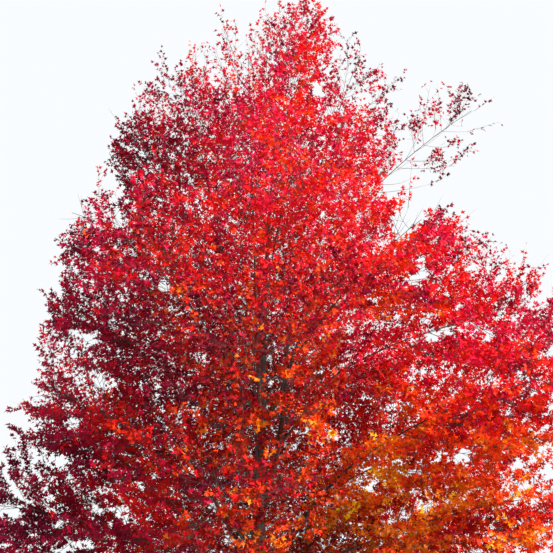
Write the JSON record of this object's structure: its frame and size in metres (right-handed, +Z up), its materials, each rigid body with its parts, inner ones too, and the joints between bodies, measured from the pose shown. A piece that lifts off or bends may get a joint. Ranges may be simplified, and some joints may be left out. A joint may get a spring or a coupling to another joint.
{
  "type": "freeman maple tree in autumn leaf",
  "caption": "Whole young maple with an upright oval crown of red autumn leaves on steep leaders and spreading boughs.",
  "frame": {"origin": "middle of the flat cut under the trunk, at ground level", "axes": "+Z up along the trunk, +X to the right as seen from the front, the front is -Y"},
  "size_m": [11.0384, 10.9637, 15.3938],
  "materials": {
    "bark": "rough grey-brown, furrowed",
    "foliage_burgundy": "matt leaf, deep wine red",
    "foliage_crimson": "matt leaf, crimson",
    "foliage_scarlet": "matt leaf, scarlet",
    "foliage_orange": "matt leaf, orange to gold"
  },
  "bodies": {
    "root": {"trunk": "bark", "leader_centre": "bark", "leader_left": "bark", "leader_right": "bark", "leader_back": "bark", "leader_front": "bark", "bough_high_left": "bark", "bough_high_right": "bark", "bough_skirt_1": "bark", "bough_skirt_2": "bark", "bough_skirt_3": "bark", "bough_skirt_4": "bark", "bough_skirt_5": "bark", "bough_lower_1": "bark", "bough_lower_2": "bark", "bough_lower_3": "bark", "bough_lower_4": "bark", "bough_lower_5": "bark", "bough_lower_6": "bark", "bough_middle_1": "bark", "bough_middle_2": "bark", "bough_middle_3": "bark", "bough_middle_4": "bark", "bough_middle_5": "bark", "bough_middle_6": "bark", "bough_upper_1": "bark", "bough_upper_2": "bark", "bough_upper_3": "bark", "bough_upper_4": "bark", "bough_upper_5": "bark", "mass_centre": "foliage_scarlet", "mass_left": "foliage_scarlet", "mass_right": "foliage_scarlet", "mass_back": "foliage_scarlet", "mass_front": "foliage_scarlet", "mass_high_left": "foliage_burgundy", "mass_high_right": "foliage_scarlet", "mass_skirt_1": "foliage_orange", "mass_skirt_2": "foliage_burgundy", "mass_skirt_3": "foliage_burgundy", "mass_skirt_4": "foliage_crimson", "mass_skirt_5": "foliage_orange", "mass_lower_1": "foliage_orange", "mass_lower_2": "foliage_crimson", "mass_lower_3": "foliage_burgundy", "mass_lower_4": "foliage_burgundy", "mass_lower_5": "foliage_crimson", "mass_lower_6": "foliage_orange", "mass_middle_1": "foliage_crimson", "mass_middle_2": "foliage_crimson", "mass_middle_3": "foliage_burgundy", "mass_middle_4": "foliage_burgundy", "mass_middle_5": "foliage_burgundy", "mass_middle_6": "foliage_crimson", "mass_upper_1": "foliage_scarlet", "mass_upper_2": "foliage_scarlet", "mass_upper_3": "foliage_burgundy", "mass_upper_4": "foliage_burgundy", "mass_upper_5": "foliage_scarlet"}
  },
  "joints": []
}
